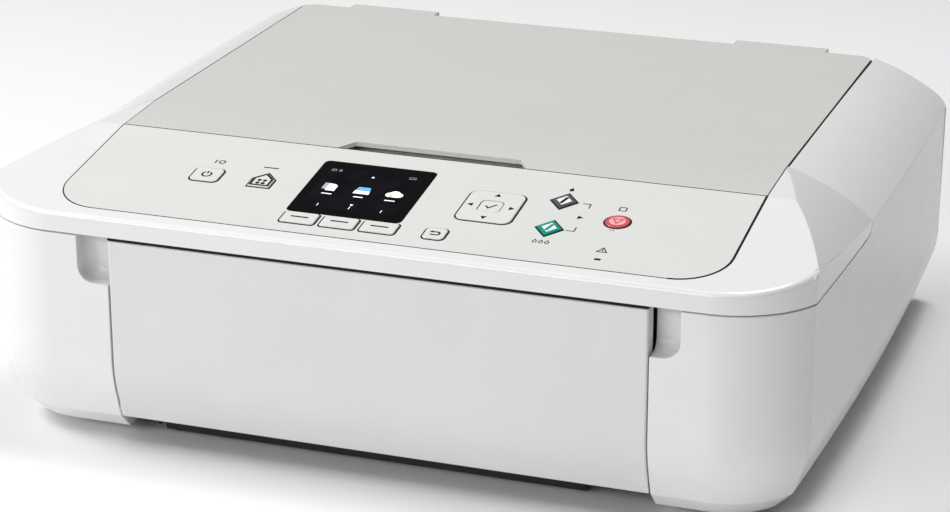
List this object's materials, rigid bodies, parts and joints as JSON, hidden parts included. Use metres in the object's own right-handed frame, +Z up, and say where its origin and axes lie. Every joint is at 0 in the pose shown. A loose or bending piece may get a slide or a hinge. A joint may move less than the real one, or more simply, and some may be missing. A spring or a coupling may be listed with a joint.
{
  "type": "inkjet printer",
  "caption": "Low white desktop inkjet printer with flatbed scanner lid, sloped control panel with display and buttons, drop-down front cover and a paper cassette below.",
  "frame": {"origin": "on the table under the middle of the printer's bounding box", "axes": "+X to the viewer's right across the front, +Y towards the rear, +Z up"},
  "size_m": [0.455, 0.369, 0.148],
  "materials": {
    "white_gloss": "gloss",
    "lid_satin": "satin",
    "panel_pale": "satin",
    "black_gloss": "gloss",
    "black_plastic": "matte",
    "grey_plastic": "matte",
    "button_pale": "satin",
    "button_dark": "satin",
    "button_green": "satin",
    "button_red": "satin",
    "steel": "brushed",
    "rubber": "matte",
    "clear_glass": "polished",
    "foam_white": "matte",
    "board_green": "satin",
    "gear_white": "satin"
  },
  "bodies": {
    "body": {"base_chassis": "black_plastic", "feet": "rubber", "left_housing": "white_gloss", "right_housing": "white_gloss", "rear_panel": "black_plastic", "hinge_brackets": "steel", "power_inlet": "black_plastic", "usb_port": "black_plastic", "inner_frame": "black_plastic", "mechanism_frame": "steel", "carriage_rail": "steel", "timing_belt": "rubber", "paper_platen": "black_plastic", "spur_holder": "grey_plastic", "maintenance_unit": "grey_plastic", "main_board": "board_green", "power_supply": "black_plastic", "motors": "steel", "screws": "steel"},
    "scanner": {"scanner_frame": "lid_satin", "scanner_pan": "black_plastic", "platen_glass": "clear_glass", "operation_panel": "panel_pale", "display_window": "black_gloss", "control_board": "board_green", "lid_hinges": "black_plastic"},
    "lid": {"document_lid": "lid_satin", "document_pad": "foam_white"},
    "cover": {"front_cover": "white_gloss", "output_tray": "black_plastic"},
    "output_support": {"output_support": "grey_plastic"},
    "cassette": {"cassette": "black_plastic"},
    "guide_left": {"paper_guide_left": "grey_plastic"},
    "guide_right": {"paper_guide_right": "grey_plastic"},
    "guide_length": {"length_guide": "grey_plastic"},
    "rear_door": {"rear_cover": "black_plastic"},
    "carriage": {"carriage": "black_plastic", "print_head": "grey_plastic", "ink_tanks": "grey_plastic"},
    "drive_pulley": {"drive_pulley": "gear_white"},
    "idler_pulley": {"idler_pulley": "gear_white"},
    "feed_roller": {"feed_roller": "gear_white"},
    "output_roller": {"output_roller": "gear_white"},
    "idler_gear": {"idler_gear": "gear_white"},
    "feed_pinion": {"feed_pinion": "gear_white"},
    "pickup_arm": {"pickup_arm": "grey_plastic"},
    "pickup_roller": {"pickup_roller": "rubber"},
    "scan_bar": {"scan_bar": "black_plastic"},
    "scan_pinion": {"scan_pinion": "gear_white"},
    "power_button": {"power_button": "button_pale"},
    "home_button": {"home_button": "button_pale"},
    "left_function_button": {"left_function_button": "button_pale"},
    "centre_function_button": {"centre_function_button": "button_pale"},
    "right_function_button": {"right_function_button": "button_pale"},
    "back_button": {"back_button": "button_pale"},
    "ok_button": {"ok_button": "button_pale"},
    "arrow_pad": {"arrow_pad": "button_pale"},
    "black_start_button": {"black_start_button": "button_dark"},
    "colour_start_button": {"colour_start_button": "button_green"},
    "stop_button": {"stop_button": "button_red"}
  },
  "joints": [
    {"name": "scanner_hinge", "type": "hinge", "parent": "body", "child": "scanner", "pos_m": [0, 0.168, 0.126], "axis": [-1, 0, 0], "range_deg": [0, 38]},
    {"name": "lid_hinge", "type": "hinge", "parent": "scanner", "child": "lid", "pos_m": [0, 0.1784, 0.1419], "axis": [-1, 0, 0], "range_deg": [0, 70]},
    {"name": "cover_hinge", "type": "hinge", "parent": "body", "child": "cover", "pos_m": [0, -0.1715, 0.0236], "axis": [1, 0, 0], "range_deg": [0, 78]},
    {"name": "output_support_slide", "type": "slide", "parent": "cover", "child": "output_support", "axis": [0, 0, 1], "range_m": [0, 0.05]},
    {"name": "cassette_slide", "type": "slide", "parent": "body", "child": "cassette", "axis": [0, -1, 0], "range_m": [0, 0.22]},
    {"name": "guide_left_slide", "type": "slide", "parent": "cassette", "child": "guide_left", "axis": [1, 0, 0], "range_m": [0, 0.055]},
    {"name": "guide_right_slide", "type": "slide", "parent": "cassette", "child": "guide_right", "axis": [-1, 0, 0], "range_m": [0, 0.055]},
    {"name": "guide_length_slide", "type": "slide", "parent": "cassette", "child": "guide_length", "axis": [0, -1, 0], "range_m": [0, 0.087]},
    {"name": "rear_cover_hinge", "type": "hinge", "parent": "body", "child": "rear_door", "pos_m": [0, 0.1715, 0.028], "axis": [-1, 0, 0], "range_deg": [0, 35]},
    {"name": "carriage_slide", "type": "slide", "parent": "body", "child": "carriage", "axis": [1, 0, 0], "range_m": [-0.283, 0]},
    {"name": "drive_pulley_spin", "type": "hinge", "parent": "body", "child": "drive_pulley", "pos_m": [0.196, 0.057, 0.094], "axis": [0, -1, 0], "range_deg": [-2500, 10]},
    {"name": "idler_pulley_spin", "type": "hinge", "parent": "body", "child": "idler_pulley", "pos_m": [-0.172, 0.057, 0.094], "axis": [0, -1, 0], "range_deg": [-2500, 10]},
    {"name": "feed_roller_spin", "type": "hinge", "parent": "body", "child": "feed_roller", "pos_m": [0, 0.042, 0.053], "axis": [1, 0, 0], "continuous": true},
    {"name": "output_roller_spin", "type": "hinge", "parent": "body", "child": "output_roller", "pos_m": [0, -0.022, 0.054], "axis": [1, 0, 0], "continuous": true},
    {"name": "idler_gear_spin", "type": "hinge", "parent": "body", "child": "idler_gear", "pos_m": [-0.187, 0.00594, 0.05053], "axis": [1, 0, 0], "continuous": true},
    {"name": "feed_pinion_spin", "type": "hinge", "parent": "body", "child": "feed_pinion", "pos_m": [-0.187, 0.02892, 0.03035], "axis": [1, 0, 0], "continuous": true},
    {"name": "pickup_arm_lift", "type": "hinge", "parent": "body", "child": "pickup_arm", "pos_m": [-0.0095, 0.062, 0.042], "axis": [1, 0, 0], "range_deg": [0, 8]},
    {"name": "pickup_roller_spin", "type": "hinge", "parent": "pickup_arm", "child": "pickup_roller", "pos_m": [-0.0095, 0.1, 0.0246], "axis": [1, 0, 0], "continuous": true},
    {"name": "scan_bar_slide", "type": "slide", "parent": "scanner", "child": "scan_bar", "axis": [1, 0, 0], "range_m": [0, 0.29]},
    {"name": "scan_pinion_spin", "type": "hinge", "parent": "scan_bar", "child": "scan_pinion", "pos_m": [-0.15, 0.05175, 0.1235], "axis": [0, 0, 1], "range_deg": [-10, 2800]},
    {"name": "power_button_press", "type": "slide", "parent": "scanner", "child": "power_button", "axis": [0, 0.1583, -0.9874], "range_m": [0, 0.0008], "stiffness_N_per_m": 400},
    {"name": "home_button_press", "type": "slide", "parent": "scanner", "child": "home_button", "axis": [0, 0.1583, -0.9874], "range_m": [0, 0.0008], "stiffness_N_per_m": 400},
    {"name": "left_function_button_press", "type": "slide", "parent": "scanner", "child": "left_function_button", "axis": [0, 0.1583, -0.9874], "range_m": [0, 0.0008], "stiffness_N_per_m": 400},
    {"name": "centre_function_button_press", "type": "slide", "parent": "scanner", "child": "centre_function_button", "axis": [0, 0.1583, -0.9874], "range_m": [0, 0.0008], "stiffness_N_per_m": 400},
    {"name": "right_function_button_press", "type": "slide", "parent": "scanner", "child": "right_function_button", "axis": [0, 0.1583, -0.9874], "range_m": [0, 0.0008], "stiffness_N_per_m": 400},
    {"name": "back_button_press", "type": "slide", "parent": "scanner", "child": "back_button", "axis": [0, 0.1583, -0.9874], "range_m": [0, 0.0008], "stiffness_N_per_m": 400},
    {"name": "ok_button_press", "type": "slide", "parent": "scanner", "child": "ok_button", "axis": [0, 0.1583, -0.9874], "range_m": [0, 0.0008], "stiffness_N_per_m": 400},
    {"name": "arrow_pad_press", "type": "slide", "parent": "scanner", "child": "arrow_pad", "axis": [0, 0.1583, -0.9874], "range_m": [0, 0.0008], "stiffness_N_per_m": 400},
    {"name": "black_start_button_press", "type": "slide", "parent": "scanner", "child": "black_start_button", "axis": [0, 0.1583, -0.9874], "range_m": [0, 0.0008], "stiffness_N_per_m": 400},
    {"name": "colour_start_button_press", "type": "slide", "parent": "scanner", "child": "colour_start_button", "axis": [0, 0.1583, -0.9874], "range_m": [0, 0.0008], "stiffness_N_per_m": 400},
    {"name": "stop_button_press", "type": "slide", "parent": "scanner", "child": "stop_button", "axis": [0, 0.1583, -0.9874], "range_m": [0, 0.0008], "stiffness_N_per_m": 400}
  ],
  "couplings": [
    {"joint": "output_support_slide", "follows": "cover_hinge", "m_per_rad": 0.036728},
    {"joint": "guide_right_slide", "follows": "guide_left_slide", "ratio": 1},
    {"joint": "drive_pulley_spin", "follows": "carriage_slide", "rad_per_m": 151.51},
    {"joint": "idler_pulley_spin", "follows": "carriage_slide", "rad_per_m": 151.51},
    {"joint": "output_roller_spin", "follows": "feed_roller_spin", "ratio": 1.6667},
    {"joint": "idler_gear_spin", "follows": "feed_roller_spin", "ratio": -1.25},
    {"joint": "feed_pinion_spin", "follows": "feed_roller_spin", "ratio": -3.3333},
    {"joint": "scan_pinion_spin", "follows": "scan_bar_slide", "rad_per_m": 166.67}
  ]
}
